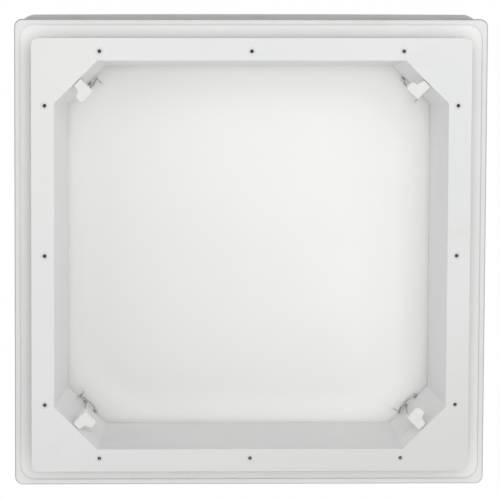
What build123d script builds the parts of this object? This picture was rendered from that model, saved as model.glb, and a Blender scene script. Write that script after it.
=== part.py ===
# Push-up roof skylight for a 400 mm square opening, in millimetres.
# The mounting plate's underside lies on the roof at z = 0, and the dome is on top.
# Each corner has the same spring-wire stay, worked out once in its own corner frame:
# x along the corner wall, y from the wall's foot towards the middle of the opening, z up.
from build123d import *
from math import atan, cos, pi, radians, sin, sqrt, tan
import os

os.makedirs("parts", exist_ok=True)

# Opening at the roof, and the neck that leans in above it
OPENING_WIDTH = 400.0
CORNER_CUT = 30.94
WALL_LEAN = 14.2
CORNER_LEAN = 16.8
NECK_HEIGHT = 66.0
NECK_WALL = 3.0
RIM_WIDTH = 9.6
RIM_THICKNESS = 2.5
MOUTH_ROUND = 0.6

# Mounting plate and its screw holes
PLATE_BORDER = 23.0
PLATE_THICKNESS = 3.2
PLATE_CORNER = 7.0
PLATE_EDGE_ROUND = 0.8
SCREW_SETBACK = 9.5
SCREW_STEP = 154.0
SCREW_HOLE = 4.0
SCREW_HEAD = 7.6
SCREW_SINK = 1.5

# Catches on the corner walls, for the open position
CATCH_DEPTH = 1.4
CATCH_HEIGHT = 3.2
CATCH_DROP = 1.0
CATCH_WIDTH = 5.4
CATCH_SIDE_GAP = 1.2

# Neck seal
SEAL_WIDTH = 6.0
SEAL_HEIGHT = 4.7
SEAL_SETBACK = 2.6
SEAL_ROUND = 1.6
SEAT_GAP = 0.3

# Dome, outer skin
SKIRT_OVERHANG = 14.7
SKIRT_DRAFT = 1.4
SKIRT_CORNER = 18.0
SKIRT_BOTTOM = 17.0
LIP_PROUD = 2.3
LIP_CORNER = 8.0
LIP_THICKNESS = 3.0
LIP_ROUND = 1.0
DOME_HEIGHT = 104.0
DOME_CROWN = 6.0
DOME_EDGE_ROUND = 9.0
OUTER_SKIN = 3.0

# Dome, inner skin: flange in the skirt's foot, sides round the neck, and a pan with a raised tray
INNER_SKIN = 2.5
FLANGE_RECESS = 1.5
FLANGE_CLEARANCE = 0.6
FLANGE_ROUND = 3.0
SIDE_RIM_GAP = 10.6
SIDE_DRAFT = 9.0
SIDE_CORNER = 20.0
SIDE_ROUND = 6.0
TRAY_SETBACK = 2.8
TRAY_PAD_GAP = 2.6
TRAY_RISE = 7.0
TRAY_SLOPE = 24.0
TRAY_FOOT_ROUND = 38.0
TRAY_TOP_ROUND = 56.0
BEAD_HEIGHT = 6.0
BEAD_LAP = 4.0

# Stay wire
WIRE = 1.6
RIM_CLEARANCE = 0.7
WALL_CLEARANCE = 1.0
LEG_SIDE = 4.0
LEG_BEND = 2.0
FOOT_BEND = 1.7
FOOT_HEIGHT = 4.5
FOOT_RISE = 13.5
BOW_DROP = 3.5
BOW_HALF = 12.4
BOW_SHOULDER = 6.0
BOW_REACH = 3.0
BOW_BEND = 12.0
HAIRPIN_STRAIGHT = 0.07
ARM_DROP = 12.0
ARM_BEND = 1.9
ARM_LENGTH = 8.0
ARM_SPREAD = 0.7
TIP_LENGTH = 2.6
TIP_ANGLE = 45.0
TIP_BEND = 1.2

# Cap on the end of the wire
CAP_DIAMETER = 3.0
CAP_LENGTH = 2.4

# Handle
HANDLE_SIDE_WALL = 1.0
HANDLE_FRONT_WALL = 1.2
HANDLE_BOTTOM = 1.2
HANDLE_THICKNESS = 8.4
HANDLE_WALL_GAP = 0.36
HANDLE_ROUND = 1.6
GRIP_WIDTH = 17.2
GRIP_DEPTH = 9.8
GRIP_SLANT = 0.8
GRIP_ROUND = 3.9
GRIP_SIDE_ROUND = 2.4
STEM_WIDTH = 11.3
STEM_ROOT_WIDTH = 9.4
STEM_SHOULDER = 1.8
STEM_ROUND = 2.8
STEM_END_ROUND = 1.8
COLLAR_DIAMETER = 5.0
COLLAR_TOP_DIAMETER = 3.2
COLLAR_HEIGHT = 3.6

# Bracket that the wire turns in, and the washers on its pegs
BORE_CLEARANCE = 0.05
LUG_WALL = 0.75
LUG_RIM_GAP = 0.55
LUG_SEAL_GAP = 1.1
LUG_SIDE_GAP = 1.0
LUG_LENGTH = 9.6
LUG_FRONT = 2.2
LUG_ROUND = 0.8
PAD_THICKNESS = 1.4
PAD_MARGIN = 1.8
PAD_ROUND = 2.5
PEG_DIAMETER = 3.2
PEG_PROUD = 2.2
PEG_CLEARANCE = 0.1
WASHER_DIAMETER = 8.4
WASHER_THICKNESS = 0.6
WASHER_GAP = 0.8

# How far the dome lifts, and how far each stay swings in meanwhile
LIFT = 45.0
SWING = 12.5

# Sizes that follow from the ones above
wire_radius = WIRE / 2
opening_corners = OPENING_WIDTH * sqrt(2) - 2 * CORNER_CUT
throat_width = OPENING_WIDTH - 2 * WALL_LEAN
throat_corners = opening_corners - 2 * CORNER_LEAN
wall_foot = opening_corners / 2
wall_slope = CORNER_LEAN / NECK_HEIGHT
plate_width = OPENING_WIDTH + 2 * PLATE_BORDER
screw_row = OPENING_WIDTH / 2 + SCREW_SETBACK
skirt_base = plate_width + 2 * SKIRT_OVERHANG
skirt_top = skirt_base - 2 * SKIRT_DRAFT
lip_width = skirt_base + 2 * LIP_PROUD
pan_bottom = NECK_HEIGHT + SEAL_HEIGHT + SEAT_GAP
pan_top = pan_bottom + INNER_SKIN
flange_bottom = SKIRT_BOTTOM + FLANGE_RECESS
flange_width = skirt_base - 2 * OUTER_SKIN - 2 * FLANGE_CLEARANCE
flange_corner = SKIRT_CORNER - OUTER_SKIN - FLANGE_CLEARANCE
side_top = throat_width + 2 * (RIM_WIDTH + SIDE_RIM_GAP)
side_base = side_top + 2 * SIDE_DRAFT
bore_radius = wire_radius + BORE_CLEARANCE
lug_bottom = NECK_HEIGHT + LUG_RIM_GAP
axis_z = lug_bottom + LUG_WALL + bore_radius
axis_y = CORNER_LEAN + RIM_CLEARANCE + wire_radius
tray_width = throat_width - 2 * TRAY_SETBACK
tray_slant = atan(TRAY_RISE / TRAY_SLOPE)
tray_foot_run = TRAY_FOOT_ROUND * tan(tray_slant / 2)
tray_reach = wall_foot - axis_y - LUG_FRONT - PAD_MARGIN - TRAY_PAD_GAP - tray_foot_run
tray_corner = (tray_width / sqrt(2) - tray_reach) / (sqrt(2) - 1)
handle_right = LEG_SIDE + wire_radius + HANDLE_SIDE_WALL
handle_front = axis_y + wire_radius + HANDLE_FRONT_WALL
handle_top = HANDLE_BOTTOM + HANDLE_THICKNESS
crown_radius = (skirt_top ** 2 / 4 + DOME_CROWN ** 2) / (2 * DOME_CROWN)


def wall_y(z):
    """How far the corner wall leans in at a height, in the corner's frame."""
    return wall_slope * z


def octagon(across_flats, across_corners, z):
    """The neck's outline at a height: a square whose corners are cut off at 45 degrees."""
    flat = across_flats / 2
    short = across_corners / sqrt(2) - flat
    points = []
    for side in range(4):
        for end in (-short, short):
            turned = Vector(flat, end, 0).rotate(Axis.Z, 90 * side)
            points.append((turned.X, turned.Y))
    return Pos(0, 0, z) * make_face(Polyline(*points, close=True))


def rounded_square(width, corner, z):
    """A square with rounded corners, at a height."""
    return Pos(0, 0, z) * RectangleRounded(width, width, corner)


def octagon_ring(setback, width, bottom, height):
    """An upright eight-sided ring round the throat, with its inner face set back from the neck's."""
    inner = octagon(throat_width + 2 * setback, throat_corners + 2 * setback, bottom)
    reach = 2 * (setback + width)
    outer = octagon(throat_width + reach, throat_corners + reach, bottom)
    return extrude(outer, height) - extrude(inner, height)


def corner_place(corner):
    """Where a corner's own frame lies, counting round from the front left corner."""
    return Rot(0, 0, 90 * corner - 135) * Pos(wall_foot, 0, 0) * Rot(0, 0, 90)


def upright_slab(points, left, width):
    """A prism along a corner's x, from an outline in that corner's y and z."""
    face = Plane.YZ.offset(left) * make_face(Polyline(*points, close=True))
    return extrude(face, width)


def swung(y, z, angle):
    """A point of the stay, turned inwards about its hinge by an angle in degrees."""
    turn = radians(angle)
    away, up = y - axis_y, z - axis_z
    return axis_y + away * cos(turn) - up * sin(turn), axis_z + away * sin(turn) + up * cos(turn)


def screw_places():
    """The screw holes: three along each side of the plate."""
    places = []
    for side in range(4):
        for step in (-SCREW_STEP, 0, SCREW_STEP):
            turned = Vector(screw_row, step, 0).rotate(Axis.Z, 90 * side)
            places.append(Pos(turned.X, turned.Y, 0))
    return places


def catch():
    """A tooth on the corner wall: the handle's foot rides up its ramp and rests on its top."""
    foot_y, foot_z = swung(wall_y(HANDLE_BOTTOM) + HANDLE_WALL_GAP, HANDLE_BOTTOM, SWING)
    top = foot_z + LIFT - CATCH_DROP
    bottom = top - CATCH_HEIGHT
    inside = NECK_WALL / 2
    outline = [
        (wall_y(bottom) - inside, bottom),
        (wall_y(bottom), bottom),
        (wall_y(top) + CATCH_DEPTH, top),
        (wall_y(top) - inside, top),
    ]
    right = LEG_SIDE - wire_radius - CATCH_SIDE_GAP
    return upright_slab(outline, right - CATCH_WIDTH, CATCH_WIDTH)


def make_frame():
    """Mounting plate and tapered neck, one moulding, with its screw holes and catches."""
    plate = extrude(rounded_square(plate_width, PLATE_CORNER, 0), PLATE_THICKNESS)
    plate = fillet(plate.edges().group_by(Axis.Z)[-1], PLATE_EDGE_ROUND)
    neck = loft([
        octagon(OPENING_WIDTH + 2 * NECK_WALL, opening_corners + 2 * NECK_WALL, 0),
        octagon(throat_width + 2 * NECK_WALL, throat_corners + 2 * NECK_WALL, NECK_HEIGHT),
    ])
    well = loft([
        octagon(OPENING_WIDTH, opening_corners, 0),
        octagon(throat_width, throat_corners, NECK_HEIGHT),
    ])
    rim = octagon_ring(0, RIM_WIDTH, NECK_HEIGHT - RIM_THICKNESS, RIM_THICKNESS)
    body = plate + neck + rim - well
    halfway = (OPENING_WIDTH + plate_width) / 4
    mouth = [
        edge for edge in body.edges().group_by(Axis.Z)[0]
        if max(abs(edge.center().X), abs(edge.center().Y)) < halfway
    ]
    body = fillet(mouth, MOUTH_ROUND)
    hole = Pos(0, 0, PLATE_THICKNESS / 2) * Cylinder(SCREW_HOLE / 2, PLATE_THICKNESS)
    sink = Pos(0, 0, PLATE_THICKNESS - SCREW_SINK / 2) * Cone(SCREW_HOLE / 2, SCREW_HEAD / 2, SCREW_SINK)
    for place in screw_places():
        body -= place * (hole + sink)
    for corner in range(4):
        body += corner_place(corner) * catch()
    return body


def make_neck_seal():
    """Rubber ring on the neck's rim, rounded where the pan presses on it."""
    ring = octagon_ring(SEAL_SETBACK, SEAL_WIDTH, NECK_HEIGHT, SEAL_HEIGHT)
    return fillet(ring.edges().group_by(Axis.Z)[-1], SEAL_ROUND)


def skirt_width(z):
    """The skirt's outside width at a height; it narrows a little towards the top."""
    return skirt_base + (skirt_top - skirt_base) * (z - SKIRT_BOTTOM) / (DOME_HEIGHT - SKIRT_BOTTOM)


def dome_form(skin):
    """The dome as a solid block, or with a skin's thickness its hollow: skirt, round edge and crown."""
    block_top = DOME_HEIGHT + DOME_CROWN
    block = loft([
        rounded_square(skirt_width(z) - 2 * skin, SKIRT_CORNER - skin, z)
        for z in (SKIRT_BOTTOM, block_top)
    ])
    ball = Pos(0, 0, DOME_HEIGHT - crown_radius) * Rot(90, 0, 0) * Sphere(crown_radius - skin)
    form = block & ball
    top_edges = form.faces().sort_by(Axis.Z)[-1].edges()
    return fillet(top_edges, DOME_EDGE_ROUND - skin)


def make_dome_outer():
    """Outer skin of the dome, with the lip that stiffens the skirt's lower edge."""
    lip = extrude(rounded_square(lip_width, LIP_CORNER, SKIRT_BOTTOM), LIP_THICKNESS)
    levels = lip.edges().group_by(Axis.Z)
    lip = fillet(levels[0] + levels[-1], LIP_ROUND)
    return dome_form(0) + lip - dome_form(OUTER_SKIN)


def cover_form(skin):
    """The space under the inner skin as a solid block, or with a skin's thickness its upper side."""
    shelf = pan_bottom + skin
    sides = loft([
        rounded_square(side_base + 2 * skin, SIDE_CORNER + skin, flange_bottom),
        rounded_square(side_top + 2 * skin, SIDE_CORNER + skin, shelf),
    ])
    sides = fillet(sides.edges().group_by(Axis.Z)[-1], SIDE_ROUND + skin)
    growth = 2 * skin * tan(tray_slant / 2)
    tray = loft([
        rounded_square(tray_width + growth, tray_corner + growth / 2, shelf),
        rounded_square(tray_width - 2 * TRAY_SLOPE + growth, tray_corner - TRAY_SLOPE + growth / 2,
                       shelf + TRAY_RISE),
    ])
    tray = fillet(tray.edges().group_by(Axis.Z)[-1], TRAY_TOP_ROUND + skin)
    form = sides + tray
    reach = tray_width / 2 + growth
    foot = [
        edge for edge in form.edges()
        if abs(edge.center().Z - shelf) < INNER_SKIN / 10 and max(abs(edge.center().X), abs(edge.center().Y)) < reach
    ]
    return fillet(foot, TRAY_FOOT_ROUND - skin)


def peg_places():
    """The two pegs of a bracket, side by side along the corner wall, in the corner's frame."""
    step = (WASHER_DIAMETER + WASHER_GAP) / 2
    return [(lug_middle() - step, pad_middle()), (lug_middle() + step, pad_middle())]


def lug_right():
    """The lug stops short of the bend where the wire turns down into its leg."""
    return LEG_SIDE - LEG_BEND - LUG_SIDE_GAP


def lug_middle():
    return lug_right() - LUG_LENGTH / 2


def lug_back():
    """The lug and its pad stay clear of the neck seal."""
    return CORNER_LEAN - SEAL_SETBACK + LUG_SEAL_GAP


def pad_middle():
    return (lug_back() + axis_y + LUG_FRONT + PAD_MARGIN) / 2


def make_dome_inner():
    """Inner skin of the dome, drilled for the brackets' pegs."""
    flange = extrude(rounded_square(flange_width, flange_corner, flange_bottom), INNER_SKIN)
    cover = flange + cover_form(INNER_SKIN) - cover_form(0)
    mouth = [
        edge for edge in cover.edges().group_by(Axis.Z)[0]
        if max(abs(edge.center().X), abs(edge.center().Y)) < (side_base + flange_width) / 4
    ]
    cover = fillet(mouth, FLANGE_ROUND)
    hole = Cylinder(PEG_DIAMETER / 2 + PEG_CLEARANCE, INNER_SKIN)
    for corner in range(4):
        for x, y in peg_places():
            cover -= corner_place(corner) * Pos(x, y, pan_bottom + INNER_SKIN / 2) * hole
    return cover


def make_dome_bead():
    """Bead of adhesive that joins the inner skin's flange to the foot of the skirt."""
    slab = extrude(rounded_square(skirt_base, SKIRT_CORNER, flange_bottom), BEAD_HEIGHT)
    lap = flange_width - 2 * BEAD_LAP
    hollow = extrude(rounded_square(lap, flange_corner - BEAD_LAP, flange_bottom), BEAD_HEIGHT)
    flange = extrude(rounded_square(flange_width, flange_corner, flange_bottom), INNER_SKIN)
    return (slab & dome_form(OUTER_SKIN)) - hollow - flange


def wire_route():
    """The wire's corner points with the bend radius at each, from its sprung tip to its foot."""
    bow_z = axis_z - BOW_DROP
    arm_z = axis_z - ARM_DROP
    arm_end_x = BOW_HALF + ARM_SPREAD
    arm_end_y = axis_y + ARM_LENGTH
    tip_y = arm_end_y + TIP_LENGTH * cos(radians(TIP_ANGLE))
    tip_z = arm_z - TIP_LENGTH * sin(radians(TIP_ANGLE))
    foot_y = wall_y(FOOT_HEIGHT) + wire_radius + WALL_CLEARANCE
    foot_end_z = FOOT_HEIGHT + FOOT_RISE
    hairpin = (BOW_DROP - HAIRPIN_STRAIGHT) / 2
    return [
        ((arm_end_x, tip_y, tip_z), None),
        ((arm_end_x, arm_end_y, arm_z), TIP_BEND),
        ((BOW_HALF, axis_y, arm_z), ARM_BEND),
        ((BOW_HALF, axis_y, bow_z), ARM_BEND),
        ((BOW_SHOULDER, axis_y + BOW_REACH, bow_z), BOW_BEND),
        ((-BOW_SHOULDER, axis_y + BOW_REACH, bow_z), BOW_BEND),
        ((-BOW_HALF, axis_y, bow_z), hairpin),
        ((-BOW_HALF, axis_y, axis_z), hairpin),
        ((LEG_SIDE, axis_y, axis_z), LEG_BEND),
        ((LEG_SIDE, axis_y, FOOT_HEIGHT), LEG_BEND),
        ((LEG_SIDE, foot_y, FOOT_HEIGHT), FOOT_BEND),
        ((LEG_SIDE, foot_y + wall_slope * FOOT_RISE, foot_end_z), None),
    ]


def make_wire():
    """One spring wire: tip, arm, bow, hairpin, hinge run, leg and foot."""
    route = wire_route()
    bends = [bend for point, bend in route[1:-1]]
    path = FilletPolyline(*[point for point, bend in route], radius=bends)
    section = Plane(origin=path @ 0, z_dir=path % 0) * Circle(wire_radius)
    return sweep(section, path=path)


def make_cap(wire):
    """Rounded cap that covers the wire's tip, so that it can't scratch the pan."""
    (tip, _), (elbow, _) = wire_route()[:2]
    way = (Vector(*elbow) - Vector(*tip)).normalized()
    barrel = extrude(Plane(origin=tip, z_dir=way) * Circle(CAP_DIAMETER / 2), CAP_LENGTH)
    return barrel + Pos(*tip) * Sphere(CAP_DIAMETER / 2) - wire


def rounded_at(face, spots, radius):
    """A face with its corners nearest to the given points rounded."""
    z = face.center().Z
    corners = [face.vertices().sort_by_distance((x, y, z))[0] for x, y in spots]
    return fillet(corners, radius)


def handle_outline():
    """The handle seen from below: a stem that starts at the wall and a grip that reaches to its left."""
    front = handle_front
    grip_left = handle_right - GRIP_WIDTH
    grip_back = front - GRIP_DEPTH
    stem_left = handle_right - STEM_WIDTH
    stem_front = grip_back - STEM_SHOULDER
    outline = Polyline(
        (handle_right, 0),
        (handle_right, front - GRIP_SLANT),
        (grip_left, front),
        (grip_left, grip_back),
        (stem_left, stem_front),
        (handle_right - STEM_ROOT_WIDTH, 0),
        close=True,
    )
    face = Pos(0, 0, HANDLE_BOTTOM) * make_face(outline)
    face = rounded_at(face, [(grip_left, front), (grip_left, grip_back)], GRIP_ROUND)
    face = rounded_at(face, [(handle_right, front - GRIP_SLANT)], GRIP_SIDE_ROUND)
    return rounded_at(face, [(stem_left, stem_front)], STEM_ROUND)


def make_handle(wire):
    """Nylon handle moulded over the foot of the wire, with a collar round the wire's leg."""
    block = extrude(handle_outline(), HANDLE_THICKNESS)
    low, high = -HANDLE_BOTTOM, handle_top + HANDLE_BOTTOM
    wall_side = [
        (-handle_front, low),
        (wall_y(low) + HANDLE_WALL_GAP, low),
        (wall_y(high) + HANDLE_WALL_GAP, high),
        (-handle_front, high),
    ]
    block -= upright_slab(wall_side, -2 * GRIP_WIDTH, 4 * GRIP_WIDTH)
    wall_end = block.faces().sort_by(Axis.Y)[0]
    uprights = [edge for edge in wall_end.edges() if edge.bounding_box().size.Z > HANDLE_THICKNESS / 2]
    block = fillet(uprights, STEM_END_ROUND)
    levels = block.edges().group_by(Axis.Z)
    block = fillet(levels[0] + levels[-1], HANDLE_ROUND)
    collar = Pos(LEG_SIDE, axis_y, handle_top + COLLAR_HEIGHT / 2) * Cone(
        COLLAR_DIAMETER / 2, COLLAR_TOP_DIAMETER / 2, COLLAR_HEIGHT)
    root = Pos(LEG_SIDE, axis_y, handle_top - HANDLE_ROUND / 2) * Cylinder(COLLAR_DIAMETER / 2, HANDLE_ROUND)
    return block + collar + root - wire


def make_bracket():
    """Bracket under the pan: a pad, a lug with the wire's bore, and two pegs through the pan."""
    lug_front = axis_y + LUG_FRONT
    lug_depth = lug_front - lug_back()
    lug = Box(LUG_LENGTH, lug_depth, pan_bottom - lug_bottom)
    lug = fillet(lug.edges().filter_by(Axis.Z), LUG_ROUND)
    lug = Pos(lug_middle(), (lug_back() + lug_front) / 2, (pan_bottom + lug_bottom) / 2) * lug
    pad_length = WASHER_DIAMETER + WASHER_GAP + PEG_DIAMETER + 2 * PAD_MARGIN
    pad_face = RectangleRounded(pad_length, lug_depth + PAD_MARGIN, PAD_ROUND)
    pad = Pos(lug_middle(), pad_middle(), pan_bottom - PAD_THICKNESS) * extrude(pad_face, PAD_THICKNESS)
    bracket = pad + lug
    peg_height = INNER_SKIN + PEG_PROUD
    for x, y in peg_places():
        bracket += Pos(x, y, pan_bottom + peg_height / 2) * Cylinder(PEG_DIAMETER / 2, peg_height)
    bore = Pos(lug_middle(), axis_y, axis_z) * Rot(0, 90, 0) * Cylinder(bore_radius, 2 * LUG_LENGTH)
    return bracket - bore


def make_washers():
    """Push-on washers that hold the brackets' pegs, on top of the pan."""
    washer = Cylinder(WASHER_DIAMETER / 2, WASHER_THICKNESS) - Cylinder(PEG_DIAMETER / 2, WASHER_THICKNESS)
    washers = []
    for corner in range(4):
        for x, y in peg_places():
            washers.append(corner_place(corner) * Pos(x, y, pan_top + WASHER_THICKNESS / 2) * washer)
    return Compound(washers)


def save(shape, node):
    """Writes one node."""
    export_step(shape, "parts/" + node + ".step")


save(make_frame(), "frame")
save(make_neck_seal(), "neck_seal")
save(make_dome_outer(), "dome_outer")
save(make_dome_inner(), "dome_inner")
save(make_dome_bead(), "dome_bond_bead")
save(make_washers(), "bracket_washers")

wire = make_wire()
stay_pieces = {
    "stay_wire": wire,
    "stay_tip_cap": make_cap(wire),
    "stay_handle": make_handle(wire),
    "stay_bracket": make_bracket(),
}
for corner, name in enumerate(["front_left", "front_right", "rear_right", "rear_left"]):
    for piece, shape in stay_pieces.items():
        save(corner_place(corner) * shape, piece + "_" + name)

# The wire's length, and the volume of its solid beside section times length
route = wire_route()
length = FilletPolyline(*[point for point, bend in route], radius=[bend for point, bend in route[1:-1]]).length
print("wire length", round(length, 2), "volume", round(wire.volume, 3), "expected",
      round(pi * wire_radius ** 2 * length, 3))
print("swing per metre of lift, rad/m", round(radians(SWING) / LIFT * 1000, 5))
for corner in range(4):
    spot = corner_place(corner) * Pos(0, axis_y, axis_z)
    print("hinge", corner, [round(value, 4) for value in spot.position])
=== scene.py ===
import math

import bpy
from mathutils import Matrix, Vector

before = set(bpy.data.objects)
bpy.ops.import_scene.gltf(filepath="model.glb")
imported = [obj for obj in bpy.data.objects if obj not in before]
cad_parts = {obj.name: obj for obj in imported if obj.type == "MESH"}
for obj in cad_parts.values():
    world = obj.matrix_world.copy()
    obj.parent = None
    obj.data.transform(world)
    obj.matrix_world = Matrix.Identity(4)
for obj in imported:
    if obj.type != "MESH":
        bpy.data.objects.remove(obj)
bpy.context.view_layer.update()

# A push-up skylight for a caravan roof: screw-on frame, double-skinned opal dome and four stays.


# Frame: mounting plate and tapered eight-sided neck, one moulding in white ABS, screwed down through twelve
# holes. Its skin has a fine grain, faint flow marks and smears from hands and mastic. The plate's face has
# painted shade, darker towards the rear.
# Round each hole it is a shade darker, where only a thin floor is left under the screw's head.
class Value:
    """A number, colour or shader that a node gives. Arithmetic on it adds its Math nodes."""

    def __init__(self, shading, socket):
        self.shading = shading
        self.socket = socket

    def maths(self, operation, other=0.0):
        return self.shading.node("ShaderNodeMath", {"operation": operation}, {0: self, 1: other})

    def __add__(self, other):
        return self.maths("ADD", other)

    __radd__ = __add__

    def __sub__(self, other):
        return self.maths("SUBTRACT", other)

    def __rsub__(self, other):
        return self.shading.node("ShaderNodeMath", {"operation": "SUBTRACT"}, {0: other, 1: self})

    def __mul__(self, other):
        return self.maths("MULTIPLY", other)

    __rmul__ = __mul__

    def __gt__(self, other):
        return self.maths("GREATER_THAN", other)

    def __abs__(self):
        return self.maths("ABSOLUTE")

    def larger(self, other):
        return self.maths("MAXIMUM", other)

    def smaller(self, other):
        return self.maths("MINIMUM", other)

    def root(self):
        return self.maths("SQRT")


class Shading:
    """The nodes of a material, or of the world."""

    def __init__(self, tree):
        self.tree = tree

    def node(self, kind, settings=None, inputs=None, output=0):
        """Adds a node: first its settings, then the values or links of its sockets."""
        made = self.tree.nodes.new(kind)
        for name, value in (settings or {}).items():
            setattr(made, name, value)
        for name, value in (inputs or {}).items():
            if isinstance(value, Value):
                self.tree.links.new(value.socket, made.inputs[name])
            else:
                made.inputs[name].default_value = value
        return Value(self, made.outputs[output])

    def over(self, mask, under, above):
        """One colour over another, where the mask is 1."""
        return self.node("ShaderNodeMix", {"data_type": "RGBA"}, {0: mask, 6: under, 7: above}, output=2)

    def between(self, value, low, high):
        """A value spread from 0 to 1 between two levels, and held at 0 and 1 outside them."""
        return self.node("ShaderNodeMapRange", {"clamp": True},
                         {"Value": value, "From Min": low, "From Max": high})


class Finish(Shading):
    """One surface finish, on a Principled shader whose constant sockets are named in the call."""

    def __init__(self, name, **constants):
        self.material = bpy.data.materials.new(name)
        self.material.use_nodes = True
        super().__init__(self.material.node_tree)
        self.shader = self.tree.nodes["Principled BSDF"]
        for socket, value in constants.items():
            self.shader.inputs[socket.replace("_", " ")].default_value = value
        self.places = self.node("ShaderNodeTexCoord", output="Object")

    def axes(self):
        """How far each place lies east and north of the middle, and how high it is, in metres."""
        return [self.node("ShaderNodeSeparateXYZ", None, {0: self.places}, output=axis) for axis in "XYZ"]

    def noise(self, scale, detail=2.0, stretch=(1, 1, 1), roughness=0.5):
        """Noise from 0 to 1, at a scale in waves per metre, stretched along the axes."""
        places = self.node("ShaderNodeMapping", None, {"Vector": self.places, "Scale": stretch})
        return self.node("ShaderNodeTexNoise", None,
                         {"Vector": places, "Scale": scale, "Detail": detail, "Roughness": roughness})

    def feed(self, socket, value):
        self.tree.links.new(value.socket, self.shader.inputs[socket])

    def relief(self, height, depth):
        """Bumps of a depth in metres."""
        bumps = self.node("ShaderNodeBump", None, {"Strength": 1.0, "Distance": depth, "Height": height})
        self.feed("Normal", bumps)


def colour(red, green, blue):
    """A colour as it is seen, each part from 0 to 255, for a shader's socket."""
    parts = [part / 255 for part in (red, green, blue)]
    linear = [part / 12.92 if part < 0.04045 else ((part + 0.055) / 1.055) ** 2.4 for part in parts]
    return (*linear, 1.0)


def dress(node, finish):
    """Gives a CAD node its finish, in every material slot that it has."""
    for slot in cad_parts[node].material_slots:
        slot.material = finish.material


ABS_WHITE = colour(227, 227, 226)
ABS_FLOW = colour(222, 223, 223)
ABS_SMEAR = colour(214, 213, 208)
ABS_PAINTED_SHADE = colour(216, 216, 214)
ABS_THIN = colour(214, 214, 213)
ABS_ROUGHNESS = 0.42
FLOW_WAVES = (7.0, 3.0, (1.0, 0.35, 1.0))
FLOW_SPREAD = (0.35, 0.72)
FLOW_DULLS = 0.10
FLOW_HEIGHT = 6.0
SMEAR_WAVES = (13.0, 4.0, (0.5, 1.0, 1.0), 0.62)
SMEAR_SPREAD = (0.60, 0.74)
SMEAR_SHARE = 0.35
SMEAR_SHINES = 0.12
GRAIN_WAVES = (2600.0, 1.0)
GRAIN_DEPTH = 0.00003
PLATE_FACE = 0.001
SHADE_EAST = 0.35
SHADE_NORTH = 0.94
SHADE_SPREAD = (0.10, 0.25)
SCREW_ROW = 0.2095
SCREW_STEP = 0.154
HEAD_EDGE = (0.0036, 0.0046)
abs_plastic = Finish("abs_plastic", Specular_IOR_Level=0.45)
flow = abs_plastic.noise(*FLOW_WAVES)
smears = abs_plastic.between(abs_plastic.noise(*SMEAR_WAVES), *SMEAR_SPREAD)
grain = abs_plastic.noise(*GRAIN_WAVES)
east, north, height = abs_plastic.axes()
outward = abs(east).larger(abs(north))
along = abs(east).smaller(abs(north))
from_row = outward - SCREW_ROW
from_hole = along.smaller(abs(along - SCREW_STEP))
reach = (from_row * from_row + from_hole * from_hole).root()
thin = 1 - abs_plastic.between(reach, *HEAD_EDGE)
# Painted shade: the plate's face is darker towards the rear.
rearward = SHADE_EAST * east + SHADE_NORTH * north
rear_shade = abs_plastic.between(rearward, *SHADE_SPREAD) * (1 - (height > PLATE_FACE))
base = abs_plastic.over(abs_plastic.between(flow, *FLOW_SPREAD), ABS_WHITE, ABS_FLOW)
base = abs_plastic.over(smears * SMEAR_SHARE, base, ABS_SMEAR)
base = abs_plastic.over(rear_shade, base, ABS_PAINTED_SHADE)
abs_plastic.feed("Base Color", abs_plastic.over(thin, base, ABS_THIN))
abs_plastic.feed("Roughness", ABS_ROUGHNESS + FLOW_DULLS * flow - SMEAR_SHINES * smears)
abs_plastic.relief(grain + FLOW_HEIGHT * flow, GRAIN_DEPTH)
dress("frame", abs_plastic)


# Neck seal: a ring of pale rubber foam, glued on the neck's rim, that the closed dome presses on.
# Its skin is matt, with open pores and a little dust caught in them.
SEAL_RUBBER = colour(198, 199, 198)
SEAL_DUST = colour(176, 174, 168)
SEAL_DUST_WAVES = (60.0, 3.0)
SEAL_DUST_SPREAD = (0.5, 0.75)
PORE_WAVES = (900.0, 2.0)
PORE_DEPTH = 0.0002
seal_rubber = Finish("seal_rubber", Roughness=0.85, Specular_IOR_Level=0.3)
caught = seal_rubber.between(seal_rubber.noise(*SEAL_DUST_WAVES), *SEAL_DUST_SPREAD)
seal_rubber.feed("Base Color", seal_rubber.over(caught, SEAL_RUBBER, SEAL_DUST))
seal_rubber.relief(seal_rubber.noise(*PORE_WAVES), PORE_DEPTH)
dress("neck_seal", seal_rubber)


# Dome, outer skin: opal acrylic sheet, vacuum formed over a mould, with a trimmed lip that stiffens it.
# It has a soft gloss, slightly wavy where the sheet was drawn, with road dust and fine wiping scratches.
# The skirt has painted shade, darker towards its foot, and the lip's outer edge has a thin line of painted
# shade.
OPAL = colour(232, 232, 231)
OPAL_DRAWN = colour(229, 230, 229)
OPAL_DUST = colour(210, 208, 201)
OPAL_SKIRT_SHADE = colour(198, 199, 198)
OPAL_FOOT_SHADE = colour(182, 183, 182)
OPAL_EDGE_SHADE = colour(172, 173, 172)
OPAL_ROUGHNESS = 0.30
DRAWN_WAVES = (5.0, 2.0)
DRAWN_SPREAD = (0.3, 0.7)
DRAWN_DEPTH = 0.0003
ROAD_DUST_WAVES = (26.0, 5.0, (1, 1, 1), 0.66)
ROAD_DUST_SPREAD = (0.52, 0.78)
ROAD_DUST_SHARE = 0.30
ROAD_DUST_DULLS = 0.16
WIPE_WAVES = (70.0, 2.0, (1.0, 14.0, 1.0))
WIPE_SPREAD = (0.60, 0.66)
WIPE_DULLS = 0.05
SKIRT_SHADE_SPREAD = (0.021, 0.028)
FOOT_SHADE_SPREAD = (0.042, 0.078)
CROWN_SPREAD = (0.094, 0.104)
LIP_HALF = 0.240
LIP_CORNER = 0.008
EDGE_SHADE_DEPTH = (0.0006, 0.0013)
opal = Finish("opal_acrylic", Specular_IOR_Level=0.15)
drawn = opal.noise(*DRAWN_WAVES)
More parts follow.
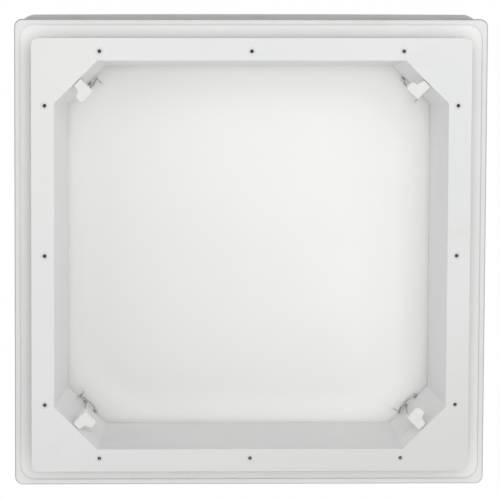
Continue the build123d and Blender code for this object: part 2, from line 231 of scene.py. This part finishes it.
dusty = opal.between(opal.noise(*ROAD_DUST_WAVES), *ROAD_DUST_SPREAD)
wiped = opal.between(opal.noise(*WIPE_WAVES), *WIPE_SPREAD)
east, north, height = opal.axes()
past_x = (abs(east) - (LIP_HALF - LIP_CORNER)).larger(0.0)
past_y = (abs(north) - (LIP_HALF - LIP_CORNER)).larger(0.0)
inside = LIP_CORNER - (past_x * past_x + past_y * past_y).root()
# Painted shade: a thin darker line along the lip's outer edge.
edge_shade = 1 - opal.between(inside, *EDGE_SHADE_DEPTH)
# Painted shade: the skirt is darker than the crown and lip, most towards its foot.
shaded_skirt = opal.between(height, *SKIRT_SHADE_SPREAD) * (1 - opal.between(height, *CROWN_SPREAD))
skirt_shade_tone = opal.over(opal.between(height, *FOOT_SHADE_SPREAD), OPAL_FOOT_SHADE, OPAL_SKIRT_SHADE)
base = opal.over(opal.between(drawn, *DRAWN_SPREAD), OPAL, OPAL_DRAWN)
base = opal.over(shaded_skirt, base, skirt_shade_tone)
base = opal.over(dusty * ROAD_DUST_SHARE, base, OPAL_DUST)
opal.feed("Base Color", opal.over(edge_shade, base, OPAL_EDGE_SHADE))
opal.feed("Roughness", OPAL_ROUGHNESS + ROAD_DUST_DULLS * dusty + WIPE_DULLS * wiped)
opal.relief(drawn, DRAWN_DEPTH)
dress("dome_outer", opal)


# Dome, inner skin: thinner opal sheet, formed with a flange that is bonded inside the skirt's foot, sides
# that go up round the neck, and a pan with a raised tray. It is satin and a little cloudy. Its upper part
# has painted shade, darker towards the west side, and a band of painted shade along the pan's east edge by
# the wall.
PAN = colour(242, 242, 241)
PAN_CLOUD = colour(238, 238, 237)
PAN_WEST_SHADE = colour(225, 225, 224)
PAN_WALL_SHADE = colour(226, 226, 225)
PAN_ROUGHNESS = 0.38
PAN_FLOOR = 0.06
CLOUD_WAVES = (6.0, 3.0)
CLOUD_SPREAD = (0.35, 0.7)
CLOUD_DEPTH = 0.0008
HAZE_WAVES = (18.0, 4.0)
HAZE_SPREAD = (0.55, 0.8)
HAZE_DULLS = 0.10
WEST_SHADE_EAST = -0.98
WEST_SHADE_NORTH = 0.2
WEST_SHADE_SPREAD = (-0.0915, 0.183)
WALL_SHADE_SPREAD = (0.152, 0.186)
pan = Finish("pan_acrylic", Specular_IOR_Level=0.4)
clouds = pan.noise(*CLOUD_WAVES)
haze = pan.between(pan.noise(*HAZE_WAVES), *HAZE_SPREAD)
east, north, height = pan.axes()
upper = height > PAN_FLOOR
# Painted shade: the pan is darker towards the west side.
west_shade = pan.between(WEST_SHADE_EAST * east + WEST_SHADE_NORTH * north, *WEST_SHADE_SPREAD) * upper
# Painted shade: a darker band along the pan's east edge, by the neck's wall.
wall_shade = pan.between(east, *WALL_SHADE_SPREAD) * upper
base = pan.over(pan.between(clouds, *CLOUD_SPREAD), PAN, PAN_CLOUD)
base = pan.over(wall_shade, base, PAN_WALL_SHADE)
pan.feed("Base Color", pan.over(west_shade, base, PAN_WEST_SHADE))
pan.feed("Roughness", PAN_ROUGHNESS + HAZE_DULLS * haze)
pan.relief(clouds, CLOUD_DEPTH)
dress("dome_inner", pan)


# Bond bead: pale construction adhesive, run on the inner skin's flange and cured against the skirt.
# Only a fine line of it shows, between the flange and the lip, when the dome is looked at from below.
ADHESIVE = colour(226, 226, 222)
BEAD_WAVES = (140.0, 3.0)
BEAD_DEPTH = 0.0006
adhesive = Finish("bond_adhesive", Base_Color=ADHESIVE, Roughness=0.6)
adhesive.relief(adhesive.noise(*BEAD_WAVES), BEAD_DEPTH)
dress("dome_bond_bead", adhesive)


# Bracket washers: bright spring-steel push-on rings on the brackets' pegs, shut in between the two skins.
# They are stamped from strip, so their faces are brushed one way.
SPRING_STRIP = colour(188, 188, 184)
STRIP_ROUGHNESS = 0.28
BRUSH_WAVES = (800.0, 2.0, (1.0, 12.0, 1.0))
BRUSH_DULLS = 0.2
strip_steel = Finish("strip_steel", Base_Color=SPRING_STRIP, Metallic=1.0)
strip_steel.feed("Roughness", STRIP_ROUGHNESS + BRUSH_DULLS * strip_steel.noise(*BRUSH_WAVES))
dress("bracket_washers", strip_steel)


# Stay brackets: white nylon blocks under the pan, each with the bore that a stay's wire turns in.
# They are moulded, with a fine grain and a slightly grey rub where the wire bears.
NYLON_WHITE = colour(222, 223, 219)
NYLON_RUB = colour(206, 206, 201)
RUB_WAVES = (300.0, 3.0)
RUB_SPREAD = (0.5, 0.8)
BRACKET_GRAIN = (1800.0, 1.0)
NYLON_GRAIN_DEPTH = 0.00004
CORNERS = ["front_left", "front_right", "rear_right", "rear_left"]
bracket_nylon = Finish("bracket_nylon", Roughness=0.5, Specular_IOR_Level=0.4)
rub = bracket_nylon.between(bracket_nylon.noise(*RUB_WAVES), *RUB_SPREAD)
bracket_nylon.feed("Base Color", bracket_nylon.over(rub, NYLON_WHITE, NYLON_RUB))
bracket_nylon.relief(bracket_nylon.noise(*BRACKET_GRAIN), NYLON_GRAIN_DEPTH)
for corner in CORNERS:
    dress("stay_bracket_" + corner, bracket_nylon)


# Stay wires: 1.6 mm spring steel, drawn, bent to shape and left bare, so the surface is dull grey.
# Drawing leaves a fine texture, and a trace of dark oil stays on it in patches.
STEEL = colour(192, 192, 189)
STEEL_OILED = colour(146, 144, 139)
STEEL_ROUGHNESS = 0.30
OIL_WAVES = (160.0, 3.0)
OIL_SPREAD = (0.45, 0.7)
OIL_DULLS = 0.18
WIRE_WAVES = (5000.0, 1.0)
WIRE_DEPTH = 0.00001
spring_steel = Finish("spring_steel", Metallic=1.0)
oil = spring_steel.between(spring_steel.noise(*OIL_WAVES), *OIL_SPREAD)
spring_steel.feed("Base Color", spring_steel.over(oil, STEEL, STEEL_OILED))
spring_steel.feed("Roughness", STEEL_ROUGHNESS + OIL_DULLS * oil)
spring_steel.relief(spring_steel.noise(*WIRE_WAVES), WIRE_DEPTH)
for corner in CORNERS:
    dress("stay_wire_" + corner, spring_steel)


# Handles: natural white nylon, moulded over each wire's foot, with a grip to draw it off the neck's wall.
# Nylon is faintly yellow, and fingers leave it a little darker and more polished in patches.
NYLON_NATURAL = colour(227, 228, 225)
NYLON_HANDLED = colour(221, 221, 216)
HANDLE_ROUGHNESS = 0.46
HANDLED_WAVES = (90.0, 3.0)
HANDLED_SPREAD = (0.42, 0.7)
HANDLED_SHARE = 0.6
HANDLED_SHINES = 0.12
HANDLE_GRAIN = (2400.0, 1.0)
handle_nylon = Finish("handle_nylon", Specular_IOR_Level=0.45,
                      Subsurface_Weight=0.15, Subsurface_Scale=0.002)
handled = handle_nylon.between(handle_nylon.noise(*HANDLED_WAVES), *HANDLED_SPREAD)
handle_nylon.feed("Base Color", handle_nylon.over(handled * HANDLED_SHARE, NYLON_NATURAL, NYLON_HANDLED))
handle_nylon.feed("Roughness", HANDLE_ROUGHNESS - HANDLED_SHINES * handled)
handle_nylon.relief(handle_nylon.noise(*HANDLE_GRAIN), NYLON_GRAIN_DEPTH)
for corner in CORNERS:
    dress("stay_handle_" + corner, handle_nylon)


# Tip caps: soft white sleeves pushed on the wires' inner ends, so that they can't scratch the pan.
# They are dip-moulded, so smooth and slightly glossy.
PVC = colour(232, 232, 226)
PVC_ROUGHNESS = 0.30
PVC_WAVES = (500.0, 2.0)
PVC_DULLS = 0.1
cap_pvc = Finish("cap_pvc", Base_Color=PVC, Specular_IOR_Level=0.5)
cap_pvc.feed("Roughness", PVC_ROUGHNESS + PVC_DULLS * cap_pvc.noise(*PVC_WAVES))
for corner in CORNERS:
    dress("stay_tip_cap_" + corner, cap_pvc)


# Floor: a wide pale sheet under the plate. Only a camera above it sees it, so it hides nothing from the main
# camera, which looks up at the object's underside, and it throws no light or shade on the object.
FLOOR_WIDTH = 60.0
FLOOR_GREY = colour(243, 243, 243)
bpy.ops.object.select_all(action="DESELECT")
bpy.ops.mesh.primitive_plane_add(size=FLOOR_WIDTH)
floor = bpy.context.object
floor.name = "floor"
floor_paint = Finish("floor_paint", Base_Color=FLOOR_GREY, Roughness=0.9, Specular_IOR_Level=0.0)
camera_ray = floor_paint.node("ShaderNodeLightPath", output="Is Camera Ray")
from_below = floor_paint.node("ShaderNodeNewGeometry", output="Backfacing")
clear = floor_paint.node("ShaderNodeBsdfTransparent")
paint = Value(floor_paint, floor_paint.shader.outputs[0])
seen_from_above = camera_ray * (1 - from_below)
one_sided = floor_paint.node("ShaderNodeMixShader", None, {0: seen_from_above, 1: clear, 2: paint})
floor_paint.tree.links.new(one_sided.socket, floor_paint.tree.nodes["Material Output"].inputs[0])
floor.data.materials.append(floor_paint.material)


# Light: a white surround with a dark stretch in front and above, as a room has behind a studio table.
# A soft lamp on the camera's side lights the underside, and another from behind lights the dome's top.
# A lamp's share is of the light on a white sheet that faces it. The camera, gloss and glass see plain white.
SURROUND = (0.84, 0.84, 0.84, 1.0)
DARK = (0.03, 0.03, 0.03, 1.0)
WHITE = (1.0, 1.0, 1.0, 1.0)
DARK_WAY = (0.0, -0.85, 0.53)
DARK_EDGE = (0.28, 0.52)
LAMPS = [
    ("under_lamp", (0.18, -0.54, -1.15), 0.34, 1.2),
    ("top_lamp", (0.9, 1.0, 2.2), 0.40, 1.4),
]
world = bpy.data.worlds.new("surround")
bpy.context.scene.world = world
world.use_nodes = True
sky = Shading(world.node_tree)
sky.tree.nodes.clear()
way = sky.node("ShaderNodeTexCoord", output="Generated")
toward_dark = sky.node("ShaderNodeVectorMath", {"operation": "DOT_PRODUCT"}, {0: way, 1: DARK_WAY},
                       output="Value")
tone = sky.over(sky.between(toward_dark, *DARK_EDGE), SURROUND, DARK)
surround = sky.node("ShaderNodeBackground", None, {"Color": tone})
backdrop = sky.node("ShaderNodeBackground", None, {"Color": WHITE})
camera_ray = sky.node("ShaderNodeLightPath", output="Is Camera Ray")
gloss_ray = sky.node("ShaderNodeLightPath", output="Is Glossy Ray")
glass_ray = sky.node("ShaderNodeLightPath", output="Is Transmission Ray")
seen = camera_ray.larger(gloss_ray).larger(glass_ray)
chosen = sky.node("ShaderNodeMixShader", None, {0: seen, 1: surround, 2: backdrop})
sky.tree.links.new(chosen.socket, sky.tree.nodes.new("ShaderNodeOutputWorld").inputs[0])
for name, place, share, width in LAMPS:
    lamp = bpy.data.objects.new(name, bpy.data.lights.new(name, "AREA"))
    bpy.context.scene.collection.objects.link(lamp)
    lamp.location = place
    lamp.rotation_euler = (-Vector(place)).to_track_quat("-Z", "Y").to_euler()
    lamp.data.size = width
    lamp.data.energy = share * (math.pi * Vector(place).length) ** 2


# Camera: a long lens far below the opening, in front of its middle and a little to the left.
# It looks up about nine degrees off square, so a narrow strip of the dome's front side shows past the lip.
CAMERA_PLACE = (-0.1927, -0.8930, -5.390)
CAMERA_TURN = (170.653, 1.992, -0.274)
LENS = 387.41
FAR_CLIP = 60.0
camera = bpy.data.objects.new("camera", bpy.data.cameras.new("camera"))
bpy.context.scene.collection.objects.link(camera)
bpy.context.scene.camera = camera
camera.location = CAMERA_PLACE
camera.rotation_euler = [math.radians(turn) for turn in CAMERA_TURN]
camera.data.lens = LENS
camera.data.clip_end = FAR_CLIP
bpy.context.scene.view_settings.view_transform = "Standard"
